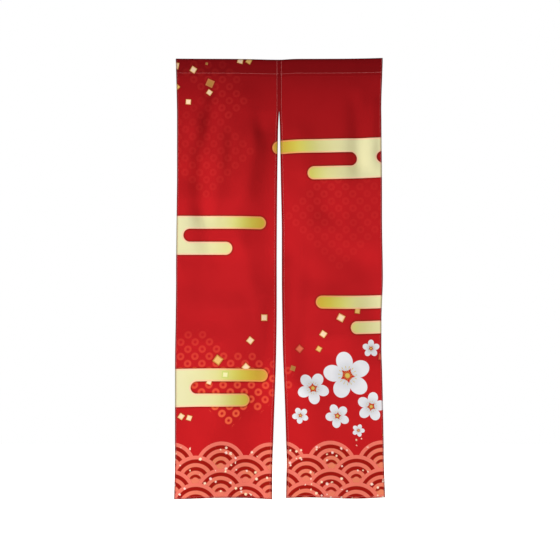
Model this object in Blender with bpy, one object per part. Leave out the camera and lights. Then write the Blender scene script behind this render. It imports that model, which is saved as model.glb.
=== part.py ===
"""A noren: a two-panel doorway curtain, sewn together at the head and slit below.

Each panel is a hemmed length of cloth whose head is folded back and stitched down as a sleeve for a
rod. The panels are joined along the middle from the top edge to the head of the slit, and hang free
below it. The origin is at the middle of the top edge, +Z is up and the front faces -Y.
"""

import math
from collections import namedtuple

import bmesh
import bpy

# Thickness of the cloth, and of the cloth where it is turned back on itself
CLOTH = 0.0010
DOUBLED = 2 * CLOTH
# Left between two pieces that are sewn together
SEWN_GAP = 0.0003

# The rod pocket: how deep the sleeve is, and the turned edge that shows below its stitching
POCKET_DROP = 0.058
POCKET_TURN = 0.012
POCKET_SWELL = 0.0072
POCKET_STATIONS = 12
POCKET_SIDES = 22

# Widths of the hems, and the step at which the doubled cloth ends
SIDE_HEM = 0.006
SLIT_HEM = 0.0105
FOOT_HEM = 0.009
HEM_STEP = 0.0015

# How many strips a panel is divided into between its hems
PANEL_STRIPS = 24
# The folds lie mostly above this drop, so the rows are closer there
FOLDED_DROP = 0.78
ROWS_FOLDED = 20
ROWS_BELOW = 16
# Length over which a fold fades out at either end
FOLD_FADE = 0.10

# The top edge dips at the seam, over a length on either side, and lifts at its two ends
SEAM_DIP = 0.0036
DIP_LEFT = 0.120
DIP_RIGHT = 0.045
LIFT_LEFT = 0.001
LIFT_RIGHT = 0.004
HALF_WIDTH = 0.425

Edge = namedtuple("Edge", "drop outer inner")
Foot = namedtuple("Foot", "outer inner lift sway")
Fold = namedtuple("Fold", "top_x top_drop foot_x foot_drop half_width forward")
Panel = namedtuple("Panel", "name edges foot folds colour")

# Where the two sides of each panel hang, by the drop from the top edge
LEFT_EDGES = (
    Edge(0.000, -0.4240, -0.00015),
    Edge(0.198, -0.4192, -0.00015),
    Edge(0.250, -0.4188, -0.0028),
    Edge(0.290, -0.4188, -0.0044),
    Edge(0.495, -0.4188, -0.0078),
    Edge(0.780, -0.4216, -0.0100),
    Edge(1.030, -0.4240, -0.0102),
    Edge(1.230, -0.4270, -0.0130),
    Edge(1.400, -0.4272, -0.0190),
    Edge(1.600, -0.4274, -0.0258),
    Edge(1.720, -0.4290, -0.0282),
    Edge(1.800, -0.4312, -0.0284),
)
RIGHT_EDGES = (
    Edge(0.000, 0.4244, 0.00015),
    Edge(0.198, 0.4196, 0.00015),
    Edge(0.250, 0.4200, 0.0016),
    Edge(0.290, 0.4202, 0.0028),
    Edge(0.495, 0.4214, 0.0066),
    Edge(0.700, 0.4220, 0.0108),
    Edge(0.900, 0.4252, 0.0108),
    Edge(1.060, 0.4200, 0.0126),
    Edge(1.200, 0.4200, 0.0150),
    Edge(1.400, 0.4254, 0.0230),
    Edge(1.640, 0.4300, 0.0298),
    Edge(1.720, 0.4324, 0.0286),
    Edge(1.800, 0.4350, 0.0276),
)
# Drop of the foot line at its two corners, how far its middle lifts, and how far it sways up and down
LEFT_FOOT = Foot(outer=1.8025, inner=1.8035, lift=0.006, sway=0.0)
RIGHT_FOOT = Foot(outer=1.7955, inner=1.7970, lift=-0.001, sway=-0.0035)

# The folds, each a soft ridge (forward is positive) or trough (negative) along a line down the cloth
LEFT_FOLDS = (
    Fold(-0.160, 0.066, -0.170, 0.823, 0.054, 0.010),
    Fold(-0.252, 0.066, -0.313, 0.416, 0.031, -0.015),
    Fold(-0.112, 0.078, -0.117, 0.299, 0.057, 0.007),
    Fold(-0.264, 0.095, -0.257, 0.658, 0.080, 0.016),
    Fold(-0.188, 0.152, -0.291, 0.706, 0.035, 0.005),
    Fold(-0.334, 0.179, -0.363, 0.510, 0.037, 0.015),
    Fold(-0.084, 0.199, -0.065, 0.378, 0.028, -0.012),
    Fold(-0.007, 0.205, -0.056, 0.973, 0.062, -0.017),
    Fold(-0.081, 0.223, -0.142, 0.628, 0.042, 0.016),
    Fold(-0.197, 0.246, -0.209, 0.497, 0.023, -0.005),
    Fold(-0.341, 0.280, -0.319, 0.717, 0.036, -0.016),
    Fold(-0.295, 0.363, -0.302, 0.831, 0.036, -0.007),
    Fold(-0.343, 0.476, -0.445, 0.933, 0.102, 0.016),
    Fold(-0.172, 0.659, -0.017, 1.321, 0.032, 0.003),
    Fold(-0.257, 0.740, -0.306, 1.168, 0.120, -0.017),
    Fold(0.018, 0.750, -0.095, 1.494, 0.040, -0.010),
    Fold(-0.207, 0.932, -0.227, 1.335, 0.146, 0.015),
    Fold(-0.139, 1.026, -0.232, 1.571, 0.060, 0.005),
    Fold(-0.203, 1.250, -0.367, 1.858, 0.064, 0.016),
    Fold(-0.089, 1.276, -0.123, 1.941, 0.080, -0.017),
    Fold(-0.021, 1.450, -0.103, 1.544, 0.017, -0.005),
)
RIGHT_FOLDS = (
    Fold(0.400, 0.066, 0.306, 0.533, 0.048, -0.017),
    Fold(0.427, 0.066, 0.410, 0.461, 0.026, -0.017),
    Fold(0.305, 0.112, 0.331, 0.522, 0.034, -0.011),
    Fold(0.089, 0.226, 0.146, 0.903, 0.051, 0.010),
    Fold(0.125, 0.444, 0.180, 0.997, 0.116, -0.017),
    Fold(0.260, 0.501, 0.302, 0.846, 0.044, 0.004),
    Fold(0.006, 0.503, 0.020, 0.868, 0.042, -0.017),
    Fold(0.198, 0.612, 0.180, 1.228, 0.086, 0.016),
    Fold(0.102, 0.715, 0.058, 1.264, 0.030, 0.005),
    Fold(0.308, 0.737, 0.451, 1.281, 0.082, -0.017),
    Fold(-0.075, 0.754, 0.078, 1.409, 0.048, 0.016),
    Fold(0.373, 0.838, 0.246, 1.218, 0.072, 0.016),
    Fold(0.123, 1.275, 0.157, 1.951, 0.101, 0.015),
    Fold(0.400, 1.300, 0.400, 1.950, 0.081, -0.010),
)

PANELS = (
    Panel("left", LEFT_EDGES, LEFT_FOOT, LEFT_FOLDS, (0.56, 0.012, 0.016)),
    Panel("right", RIGHT_EDGES, RIGHT_FOOT, RIGHT_FOLDS, (0.53, 0.010, 0.014)),
)
POCKET_COLOUR = (0.20, 0.004, 0.006)
CLOTH_ROUGHNESS = 0.82


def smooth(value):
    """0 below 0, 1 above 1, and an even slope between."""
    value = min(max(value, 0.0), 1.0)
    return value * value * (3.0 - 2.0 * value)


def between(start, end, part):
    return start + (end - start) * part


def bell(value):
    return math.exp(-value * value)


def side_at(edges, drop, column):
    """A side's X at a drop, on a smooth curve through the rows of its table."""
    rows = [(edge.drop, getattr(edge, column)) for edge in edges]
    last = len(rows) - 1
    index = next((i for i in range(last) if drop <= rows[i + 1][0]), last - 1)
    before = rows[max(index - 1, 0)]
    start, end = rows[index], rows[index + 1]
    after = rows[min(index + 2, last)]
    span = end[0] - start[0]
    leave = (end[1] - before[1]) / (end[0] - before[0]) * span
    arrive = (after[1] - start[1]) / (after[0] - start[0]) * span
    if start[1] == end[1]:
        return start[1]
    t = (drop - start[0]) / span
    return (
        (2 * t**3 - 3 * t**2 + 1) * start[1]
        + (t**3 - 2 * t**2 + t) * leave
        + (3 * t**2 - 2 * t**3) * end[1]
        + (t**3 - t**2) * arrive
    )


def top_rise(x):
    """Height of the top edge above the origin, which is at the bottom of its dip at the seam."""
    reach, lift = (DIP_RIGHT, LIFT_RIGHT) if x > 0 else (DIP_LEFT, LIFT_LEFT)
    return SEAM_DIP * (1 - bell(x / reach)) + lift * (x / HALF_WIDTH) ** 4


def fold_forward(folds, x, drop):
    """How far the folds carry the cloth towards the front at a place."""
    forward = 0.0
    for fold in folds:
        along = (drop - fold.top_drop) / (fold.foot_drop - fold.top_drop)
        line_x = between(fold.top_x, fold.foot_x, min(max(along, 0.0), 1.0))
        fade = smooth((drop - fold.top_drop) / FOLD_FADE) * smooth((fold.foot_drop - drop) / FOLD_FADE)
        forward += fold.forward * fade * bell((x - line_x) / fold.half_width)
    return forward


def make_material(name, colour):
    material = bpy.data.materials.new(name)
    material.use_nodes = True
    shader = material.node_tree.nodes["Principled BSDF"]
    shader.inputs["Base Color"].default_value = (*colour, 1.0)
    shader.inputs["Roughness"].default_value = CLOTH_ROUGHNESS
    shader.inputs["Metallic"].default_value = 0.0
    return material


def make_object(name, build, material):
    """An object from a bmesh that the function build fills with one closed body."""
    shape = bmesh.new()
    build(shape)
    bmesh.ops.recalc_face_normals(shape, faces=shape.faces)
    mesh = bpy.data.meshes.new(name)
    shape.to_mesh(mesh)
    shape.free()
    mesh.materials.append(material)
    mesh.shade_smooth()
    mesh.set_sharp_from_angle(angle=math.radians(40))
    thing = bpy.data.objects.new(name, mesh)
    bpy.context.scene.collection.objects.link(thing)
    return thing


def panel_columns(outer, inner):
    """X of the panel's vertical lines with the number of layers there, from the outer side inwards."""
    towards_middle = 1.0 if inner > outer else -1.0
    body_start = outer + towards_middle * (SIDE_HEM + HEM_STEP)
    body_end = inner - towards_middle * (SLIT_HEM + HEM_STEP)
    columns = [(outer, 2), (outer + towards_middle * SIDE_HEM, 2)]
    for strip in range(PANEL_STRIPS + 1):
        columns.append((between(body_start, body_end, strip / PANEL_STRIPS), 1))
    columns += [(inner - towards_middle * SLIT_HEM, 2), (inner, 2)]
    return columns


def panel_rows():
    """Drops of the panel's cross lines with the number of layers there, from the head down."""
    head = POCKET_DROP + SEWN_GAP
    body_start = POCKET_DROP + POCKET_TURN + HEM_STEP
    foot = 1.800
    body_end = foot - FOOT_HEM - HEM_STEP
    rows = [(head, 2), (POCKET_DROP + POCKET_TURN, 2)]
    for row in range(ROWS_FOLDED):
        rows.append((between(body_start, FOLDED_DROP, row / ROWS_FOLDED), 1))
    for row in range(ROWS_BELOW + 1):
        rows.append((between(FOLDED_DROP, body_end, row / ROWS_BELOW), 1))
    rows += [(foot - FOOT_HEM, 2), (foot, 2)]
    return rows


def height_of(panel, drop, x):
    """Z of a place on the panel: it follows the top edge at the head and the foot line at the hem."""
    outer, inner = abs(panel.edges[-1].outer), abs(panel.edges[-1].inner)
    across = (outer - abs(x)) / (outer - inner)
    foot = between(panel.foot.outer, panel.foot.inner, across)
    foot -= panel.foot.lift * math.sin(math.pi * across)
    foot -= panel.foot.sway * math.sin(2 * math.pi * across)
    down = drop / panel.edges[-1].drop
    return between(top_rise(x) - drop, -foot * down, smooth(down))


def fill_panel(shape, panel):
    """The panel below its pocket: a front and a back surface, joined round the rim."""
    front, back = [], []
    for drop, row_layers in panel_rows():
        outer = side_at(panel.edges, drop, "outer")
        inner = side_at(panel.edges, drop, "inner")
        front_row, back_row = [], []
        for x, column_layers in panel_columns(outer, inner):
            forward = fold_forward(panel.folds, x, drop)
            layers = max(row_layers, column_layers)
            z = height_of(panel, drop, x)
            front_row.append(shape.verts.new((x, -CLOTH - forward, z)))
            back_row.append(shape.verts.new((x, (layers - 1) * CLOTH - forward, z)))
        front.append(front_row)
        back.append(back_row)
    close_sheet(shape, front, back)


def close_sheet(shape, front, back):
    """Faces of a closed sheet from two grids of vertices with the same rows and columns."""
    rows, columns = len(front), len(front[0])
    for row in range(rows - 1):
        for column in range(columns - 1):
            for grid in (front, back):
                corners = (
                    grid[row][column],
                    grid[row][column + 1],
                    grid[row + 1][column + 1],
                    grid[row + 1][column],
                )
                shape.faces.new(corners if grid is front else corners[::-1])
    rim = [(0, column) for column in range(columns)]
    rim += [(row, columns - 1) for row in range(1, rows)]
    rim += [(rows - 1, column) for column in range(columns - 2, -1, -1)]
    rim += [(row, 0) for row in range(rows - 2, 0, -1)]
    for here, there in zip(rim, rim[1:] + rim[:1]):
        shape.faces.new(
            (
                front[there[0]][there[1]],
                front[here[0]][here[1]],
                back[here[0]][here[1]],
                back[there[0]][there[1]],
            )
        )


def teardrop(turn):
    """How wide the sleeve stands open at a turn round its section, from 0 at either end to 1."""
    widest = 4.0 / (3.0 * math.sqrt(3.0))
    return math.sin(turn) * math.cos(turn / 2) / widest


def sleeve_section(swell):
    """Outer and inner outline of the sleeve as (y, drop), from the middle of its top round the front."""
    outer, inner = [], []
    cavity_drop = POCKET_DROP - 3 * CLOTH
    for side in range(POCKET_SIDES):
        turn = 2 * math.pi * side / POCKET_SIDES
        depth = (1 - math.cos(turn)) / 2
        facing = -1.0 if turn < math.pi else 1.0
        half_turn = turn if turn <= math.pi else 2 * math.pi - turn
        open_width = teardrop(half_turn)
        inner.append((facing * swell * open_width, CLOTH + depth * cavity_drop))
        wall = CLOTH * smooth(4 * depth)
        outer.append((facing * (swell * open_width + wall), depth * POCKET_DROP))
    return outer, inner


def fill_pocket(shape, panel):
    """The rod pocket: a sleeve that is open at both ends and pinched flat at its stitching."""
    outer_end = panel.edges[0].outer
    inner_end = panel.edges[0].inner
    rings = []
    for station in range(POCKET_STATIONS + 1):
        part = station / POCKET_STATIONS
        x = between(outer_end, inner_end, part)
        swell = POCKET_SWELL * (1.0 - 0.10 * math.sin(5 * math.pi * part) ** 2)
        outer, inner = sleeve_section(swell)
        rise = top_rise(x)
        outer_loop = [shape.verts.new((x, y, rise - drop)) for y, drop in outer]
        inner_loop = [shape.verts.new((x, y, rise - drop)) for y, drop in inner]
        rings.append((outer_loop, inner_loop))
    for side in range(POCKET_SIDES):
        following = (side + 1) % POCKET_SIDES
        for (outer, inner), (next_outer, next_inner) in zip(rings, rings[1:]):
            shape.faces.new((outer[side], outer[following], next_outer[following], next_outer[side]))
            shape.faces.new((inner[following], inner[side], next_inner[side], next_inner[following]))
        for outer, inner in (rings[0], rings[-1]):
            shape.faces.new((outer[side], inner[side], inner[following], outer[following]))


def clear_scene():
    for thing in list(bpy.data.objects):
        bpy.data.objects.remove(thing, do_unlink=True)


def main():
    clear_scene()
    pocket_cloth = make_material("rod_pocket_cloth", POCKET_COLOUR)
    for panel in PANELS:
        panel_cloth = make_material(f"{panel.name}_panel_cloth", panel.colour)
        make_object(f"{panel.name}_panel", lambda shape, panel=panel: fill_panel(shape, panel), panel_cloth)
        make_object(
            f"{panel.name}_rod_pocket",
            lambda shape, panel=panel: fill_pocket(shape, panel),
            pocket_cloth,
        )


main()
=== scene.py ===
"""The look of a printed two-panel noren: its cloth, hems, sewing and print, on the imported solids.

Each panel is one thin sheet of cloth that runs from the turned edge behind the rod pocket, up the back
of the pocket, over its top, down its front and on to the hem at the foot. A place on the cloth is given
by X and by s, the length of cloth from the top fold: positive down the front, negative down the back.
"""

import math
from collections import namedtuple

import bpy
import numpy as np
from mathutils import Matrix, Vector


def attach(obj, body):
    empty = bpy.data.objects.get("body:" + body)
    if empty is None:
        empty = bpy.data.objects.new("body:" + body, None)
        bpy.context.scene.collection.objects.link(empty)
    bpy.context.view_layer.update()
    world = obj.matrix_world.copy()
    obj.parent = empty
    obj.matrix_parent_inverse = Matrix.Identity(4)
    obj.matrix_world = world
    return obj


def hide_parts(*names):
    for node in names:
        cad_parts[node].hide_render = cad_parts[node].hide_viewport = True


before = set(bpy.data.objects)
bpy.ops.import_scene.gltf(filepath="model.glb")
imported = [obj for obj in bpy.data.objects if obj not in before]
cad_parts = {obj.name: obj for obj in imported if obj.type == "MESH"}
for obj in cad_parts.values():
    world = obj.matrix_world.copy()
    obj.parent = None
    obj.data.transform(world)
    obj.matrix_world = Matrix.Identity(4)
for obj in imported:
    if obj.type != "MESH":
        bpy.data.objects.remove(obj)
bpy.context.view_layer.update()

# Cloth, hems and sewing, in metres
CLOTH = 0.0005
HEM_TURN = 0.0008
EDGE_ROUND = 0.0007
POCKET_DROP = 0.058
POCKET_TURN = 0.012
POCKET_SWELL = 0.0072
SIDE_HEM = 0.006
SLIT_HEM = 0.0105
FOOT_HEM = 0.009
SEWN_IN = 0.001
HALF_WIDTH = 0.425
FOOT = 1.800
FOLD_FADE = 0.10
# The top edge dips at the seam, over a length on either side, and lifts at its two ends
SEAM_DIP = 0.0036
DIP_LEFT = 0.120
DIP_RIGHT = 0.045
LIFT_LEFT = 0.001
LIFT_RIGHT = 0.004
# Y of the middle of the front layer and of the turned layer behind it
FRONT_LAYER = -0.0005
BACK_LAYER = 0.0003

# The panel's mesh: the spacing of its open cloth and of the rows and columns beside its sewing
OPEN_STEP = 0.0055
EDGE_STEPS = (0.0, 0.0002, 0.0005, 0.0010, 0.0020)

Edge = namedtuple("Edge", "drop outer inner")
Foot = namedtuple("Foot", "outer inner lift sway")
Fold = namedtuple("Fold", "top_x top_drop foot_x foot_drop half_width forward")
Panel = namedtuple("Panel", "name side edges foot folds")

LEFT_EDGES = (
    Edge(0.000, -0.4240, 0.0003),
    Edge(0.198, -0.4192, 0.0003),
    Edge(0.250, -0.4188, -0.0028),
    Edge(0.290, -0.4188, -0.0044),
    Edge(0.495, -0.4188, -0.0078),
    Edge(0.780, -0.4216, -0.0100),
    Edge(1.030, -0.4240, -0.0102),
    Edge(1.230, -0.4270, -0.0130),
    Edge(1.400, -0.4272, -0.0190),
    Edge(1.600, -0.4274, -0.0258),
    Edge(1.720, -0.4290, -0.0282),
    Edge(1.800, -0.4312, -0.0284),
)
RIGHT_EDGES = (
    Edge(0.000, 0.4244, -0.0003),
    Edge(0.198, 0.4196, -0.0003),
    Edge(0.250, 0.4200, 0.0016),
    Edge(0.290, 0.4202, 0.0028),
    Edge(0.495, 0.4214, 0.0066),
    Edge(0.700, 0.4220, 0.0108),
    Edge(0.900, 0.4252, 0.0108),
    Edge(1.060, 0.4200, 0.0126),
    Edge(1.200, 0.4200, 0.0150),
    Edge(1.400, 0.4254, 0.0230),
    Edge(1.640, 0.4300, 0.0298),
    Edge(1.720, 0.4324, 0.0286),
    Edge(1.800, 0.4350, 0.0276),
)
# Drop of the foot line at its two corners, how far its middle lifts, and how far it sways up and down
LEFT_FOOT = Foot(outer=1.8025, inner=1.8035, lift=0.006, sway=0.0)
RIGHT_FOOT = Foot(outer=1.7955, inner=1.7970, lift=-0.001, sway=-0.0035)

# Main folds: each a soft ridge (forward is positive) or trough along a line down the cloth
LEFT_FOLDS = (
    Fold(-0.160, 0.066, -0.170, 0.823, 0.054, 0.010),
    Fold(-0.252, 0.066, -0.313, 0.416, 0.031, -0.015),
    Fold(-0.112, 0.078, -0.117, 0.299, 0.057, 0.007),
    Fold(-0.264, 0.095, -0.257, 0.658, 0.080, 0.016),
    Fold(-0.188, 0.152, -0.291, 0.706, 0.035, 0.005),
    Fold(-0.334, 0.179, -0.363, 0.510, 0.037, 0.015),
    Fold(-0.084, 0.199, -0.065, 0.378, 0.028, -0.012),
    Fold(-0.007, 0.205, -0.056, 0.973, 0.062, -0.017),
    Fold(-0.081, 0.223, -0.142, 0.628, 0.042, 0.016),
    Fold(-0.197, 0.246, -0.209, 0.497, 0.023, -0.005),
    Fold(-0.341, 0.280, -0.319, 0.717, 0.036, -0.016),
    Fold(-0.295, 0.363, -0.302, 0.831, 0.036, -0.007),
    Fold(-0.343, 0.476, -0.445, 0.933, 0.102, 0.016),
    Fold(-0.172, 0.659, -0.017, 1.321, 0.032, 0.003),
    Fold(-0.257, 0.740, -0.306, 1.168, 0.120, -0.017),
    Fold(0.018, 0.750, -0.095, 1.494, 0.040, -0.010),
    Fold(-0.207, 0.932, -0.227, 1.335, 0.146, 0.015),
    Fold(-0.139, 1.026, -0.232, 1.571, 0.060, 0.005),
    Fold(-0.203, 1.250, -0.367, 1.858, 0.064, 0.016),
    Fold(-0.089, 1.276, -0.123, 1.941, 0.080, -0.017),
    Fold(-0.021, 1.450, -0.103, 1.544, 0.017, -0.005),
)
RIGHT_FOLDS = (
    Fold(0.400, 0.066, 0.306, 0.533, 0.048, -0.017),
    Fold(0.427, 0.066, 0.410, 0.461, 0.026, -0.017),
    Fold(0.305, 0.112, 0.331, 0.522, 0.034, -0.011),
    Fold(0.089, 0.226, 0.146, 0.903, 0.051, 0.010),
    Fold(0.125, 0.444, 0.180, 0.997, 0.116, -0.017),
    Fold(0.260, 0.501, 0.302, 0.846, 0.044, 0.004),
    Fold(0.006, 0.503, 0.020, 0.868, 0.042, -0.017),
    Fold(0.198, 0.612, 0.180, 1.228, 0.086, 0.016),
    Fold(0.102, 0.715, 0.058, 1.264, 0.030, 0.005),
    Fold(0.308, 0.737, 0.451, 1.281, 0.082, -0.017),
    Fold(-0.075, 0.754, 0.078, 1.409, 0.048, 0.016),
    Fold(0.373, 0.838, 0.246, 1.218, 0.072, 0.016),
    Fold(0.123, 1.275, 0.157, 1.951, 0.101, 0.015),
    Fold(0.400, 1.300, 0.400, 1.950, 0.081, -0.010),
)
PANELS = (
    Panel("left", -1, LEFT_EDGES, LEFT_FOOT, LEFT_FOLDS),
    Panel("right", 1, RIGHT_EDGES, RIGHT_FOOT, RIGHT_FOLDS),
)


def smooth(value):
    """0 below 0, 1 above 1, and an even slope between."""
    value = np.clip(value, 0.0, 1.0)
    return value * value * (3.0 - 2.0 * value)


def bell(value):
    return np.exp(-value * value)


def between(start, end, part):
    return start + (end - start) * part


def side_at(edges, drop, column):
    """A side's X at an array of drops, on a smooth curve through the rows of its table."""
    drops = np.array([edge.drop for edge in edges])
    places = np.array([getattr(edge, column) for edge in edges])
    before = np.maximum(np.arange(len(drops)) - 1, 0)
    after = np.minimum(np.arange(len(drops)) + 1, len(drops) - 1)
    slopes = (places[after] - places[before]) / (drops[after] - drops[before])
    index = np.clip(np.searchsorted(drops, drop) - 1, 0, len(drops) - 2)
    span = drops[index + 1] - drops[index]
    t = np.clip((drop - drops[index]) / span, 0.0, 1.0)
    start, end = places[index], places[index + 1]
    curve = (
        (2 * t**3 - 3 * t**2 + 1) * start
        + (t**3 - 2 * t**2 + t) * slopes[index] * span
        + (3 * t**2 - 2 * t**3) * end
        + (t**3 - t**2) * slopes[index + 1] * span
    )
    return np.where(start == end, start, curve)


def top_rise(x):
    """Height of the top edge above the origin, which is at the bottom of its dip at the seam."""
    dip = 1 - bell(x / np.where(x > 0, DIP_RIGHT, DIP_LEFT))
    return SEAM_DIP * dip + np.where(x > 0, LIFT_RIGHT, LIFT_LEFT) * (x / HALF_WIDTH) ** 4


def height_at(panel, x, drop):
    """Z of the cloth: it follows the top edge at the head and the foot line at the hem."""
    outer, inner = abs(panel.edges[-1].outer), abs(panel.edges[-1].inner)
    across = (outer - np.abs(x)) / (outer - inner)
    foot = between(panel.foot.outer, panel.foot.inner, across)
    foot = foot - panel.foot.lift * np.sin(math.pi * across)
    foot = foot - panel.foot.sway * np.sin(2 * math.pi * across)
    down = drop / FOOT
    return between(top_rise(x) - drop, -foot * down, smooth(down))


def fold_forward(folds, x, drop):
    """How far the folds carry the cloth towards the front."""
    forward = np.zeros(np.broadcast(x, drop).shape)
    for fold in folds:
        along = np.clip((drop - fold.top_drop) / (fold.foot_drop - fold.top_drop), 0.0, 1.0)
        line_x = between(fold.top_x, fold.foot_x, along)
        fade = smooth((drop - fold.top_drop) / FOLD_FADE) * smooth((fold.foot_drop - drop) / FOLD_FADE)
        forward += fold.forward * fade * bell((x - line_x) / fold.half_width)
    return forward


def uneven(along, seed):
    """An irregular ripple from -1 to 1 along a line of sewing."""
    lengths = (0.0130, 0.0211, 0.0347, 0.0893)
    heights = (0.40, 0.30, 0.20, 0.10)
    ripple = 0.0
    for turn, (length, height) in enumerate(zip(lengths, heights)):
        ripple = ripple + height * np.sin(2 * math.pi * along / length + 1.7 * seed + 2.3 * turn)
    return ripple


def cockle(x, s):
    """The slight unevenness of woven cloth that hangs free."""
    wave = np.sin(31.0 * x + 7.0 * np.sin(5.3 * s)) * np.sin(17.0 * s + 3.0 * np.sin(11.0 * x) + 0.7)
    wave = wave + 0.5 * np.sin(67.0 * x - 13.0 * s) * np.sin(41.0 * s + 9.0 * x)
    return 0.0005 * wave


def sewn_relief(panel, x, s, from_outer, from_inner):
    """Grooves under the stitches and the small puckers that they draw up, towards the front."""
    drop = np.abs(s)
    relief = np.zeros(np.broadcast(x, s).shape)
    lines = (
        (drop - POCKET_DROP, x, 0.0003, 0.0005, 0.010, 1),
        (from_outer - (SIDE_HEM - SEWN_IN), s, 0.0002, 0.0004, 0.009, 2 + panel.side),
        (from_inner - (SLIT_HEM - SEWN_IN), s, 0.0003, 0.0005, 0.011, 5 + panel.side),
        (s - (FOOT - FOOT_HEM + SEWN_IN), x, 0.0002, 0.0005, 0.010, 8),
    )
    for distance, along, groove, pucker, reach, seed in lines:
        relief -= groove * bell(distance / 0.0016)
        relief += pucker * bell(distance / reach) * uneven(along, seed)
    relief += 0.0004 * bell((drop - POCKET_DROP - POCKET_TURN) / 0.003)
    return relief


def sleeve_table():
    """The sleeve's section by the cloth's length from its top: how deep, and how far it stands open."""
    turns = np.linspace(0.0, math.pi, 300)
    depth = POCKET_DROP * (1 - np.cos(turns)) / 2
    widest = 4.0 / (3.0 * math.sqrt(3.0))
    opening = np.sin(turns) * np.cos(turns / 2) / widest
    steps = np.hypot(np.diff(depth), POCKET_SWELL * np.diff(opening))
    length = np.concatenate(([0.0], np.cumsum(steps)))
    return POCKET_DROP * length / length[-1], depth, opening


SLEEVE_S, SLEEVE_DEPTH, SLEEVE_OPENING = sleeve_table()


def middle_of_cloth(panel, x, s):
    """Where the middle of the cloth lies for arrays of X and s, as points."""
    x, s = np.broadcast_arrays(np.asarray(x, float), np.asarray(s, float))
    drop = np.abs(s)
    from_outer = np.abs(side_at(panel.edges, drop, "outer") - x)
    from_inner = np.abs(side_at(panel.edges, drop, "inner") - x)
    facing = np.where(s >= 0, -1.0, 1.0)
    in_sleeve = drop < POCKET_DROP
    depth = np.interp(drop, SLEEVE_S, SLEEVE_DEPTH)
    part = x / HALF_WIDTH
    swell = POCKET_SWELL * (0.96 - 0.05 * np.sin(9.0 * part) - 0.03 * np.sin(23.0 * part + 1.0))
    opening = facing * swell * np.interp(drop, SLEEVE_S, SLEEVE_OPENING)
    layer = np.where(s >= 0, FRONT_LAYER, BACK_LAYER) * np.clip(drop / POCKET_DROP, 0.0, 1.0)
    free = fold_forward(panel.folds, x, drop)
    free = free + cockle(x, s) * smooth((drop - POCKET_DROP) / 0.15)
    relief = sewn_relief(panel, x, s, from_outer, from_inner)
    y = layer + np.where(in_sleeve, opening, 0.0) - free + np.where(in_sleeve & (s < 0), relief, -relief)
    z = np.where(in_sleeve, top_rise(x) - depth, height_at(panel, x, drop))
    return np.stack((x, y, z), axis=-1)


def facing_of_cloth(panel, x, s):
    """Unit normals of the cloth on its printed side."""
    small = 0.0004
    across = middle_of_cloth(panel, x + small, s) - middle_of_cloth(panel, x - small, s)
    along = middle_of_cloth(panel, x, s + small) - middle_of_cloth(panel, x, s - small)
    normal = np.cross(along, across)
    return normal / np.linalg.norm(normal, axis=-1, keepdims=True)


def turned_layers(panel, from_outer, from_inner, s):
    """How much thicker the cloth is on its reverse, where a hem is turned back."""
    step = 0.0004
    turned = 1 - smooth((from_outer - SIDE_HEM) / step)
    turned = np.maximum(turned, 1 - smooth((from_inner - SLIT_HEM) / step))
    turned = np.maximum(turned, smooth((s - (FOOT - FOOT_HEM)) / step))
    return HEM_TURN * turned


def sheet_columns(panel):
    """Columns of the sheet as (part of the open width, distance from outer, distance from inner)."""
    outer = sorted(set(EDGE_STEPS) | {0.0032, 0.0042, 0.0050, 0.0058, 0.0060, 0.0064, 0.0080, 0.0105})
    near_hem = {SLIT_HEM + step for step in (-0.0060, -0.0034, -0.0020, -0.0010, -0.0002, 0.0, 0.0004)}
    inner = sorted(set(EDGE_STEPS) | near_hem | {0.0125, 0.0155})
    width = HALF_WIDTH - outer[-1] - inner[-1]
    strips = round(width / OPEN_STEP)
    columns = [(0.0, distance, None) for distance in outer]
    columns += [(part / strips, None, None) for part in range(1, strips)]
    columns += [(1.0, None, distance) for distance in reversed(inner)]
    return columns, outer[-1], inner[-1]


def sheet_rows():
    """Values of s for the rows of the sheet, from the turned edge to the foot."""
    back_end = POCKET_DROP + POCKET_TURN
    rows = [step - back_end for step in EDGE_STEPS]
    rows += list(-POCKET_DROP - np.arange(0.0034, 0.0090, 0.0016))
    rows += list(-POCKET_DROP + np.arange(-0.0024, 0.0030, 0.0008))
    rows += list(np.arange(-0.0540, -0.0095, 0.0042))
    rows += list(np.arange(-0.0084, 0.0086, 0.0012))
    rows += list(np.arange(0.0120, 0.0545, 0.0042))
    rows += list(POCKET_DROP + np.arange(-0.0024, 0.0036, 0.0008))
    rows += list(POCKET_DROP + np.arange(0.0050, 0.0220, 0.0020))
    near_foot = FOOT - FOOT_HEM
    top = POCKET_DROP + 0.0260
    rows += list(np.linspace(top, near_foot - 0.008, round((near_foot - top - 0.008) / OPEN_STEP)))
    rows += [near_foot + step for step in (-0.005, -0.0025, -0.0004, 0.0, 0.0005, 0.0010, 0.0016, 0.0030)]
    rows += [near_foot + 0.0050, near_foot + 0.0065]
    rows += [FOOT - step for step in reversed(EDGE_STEPS)]
    return np.array(sorted(set(round(float(row), 6) for row in rows)))


def sheet_places(panel):
    """X and s of every vertex of a panel's sheet, and its distances from the two side edges."""
    columns, outer_reach, inner_reach = sheet_columns(panel)
    s = sheet_rows()[:, None]
    outer = side_at(panel.edges, np.abs(s), "outer")
    inner = side_at(panel.edges, np.abs(s), "inner")
    inwards = -panel.side
    places = []
    for part, from_outer, from_inner in columns:
        if from_outer is not None:
            places.append(outer + inwards * from_outer)
        elif from_inner is not None:
            places.append(inner - inwards * from_inner)
        else:
            places.append(between(outer + inwards * outer_reach, inner - inwards * inner_reach, part))
    x = np.concatenate(places, axis=1)
    s = np.broadcast_to(s, x.shape)
    return x, s, np.abs(x - outer), np.abs(x - inner)


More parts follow.
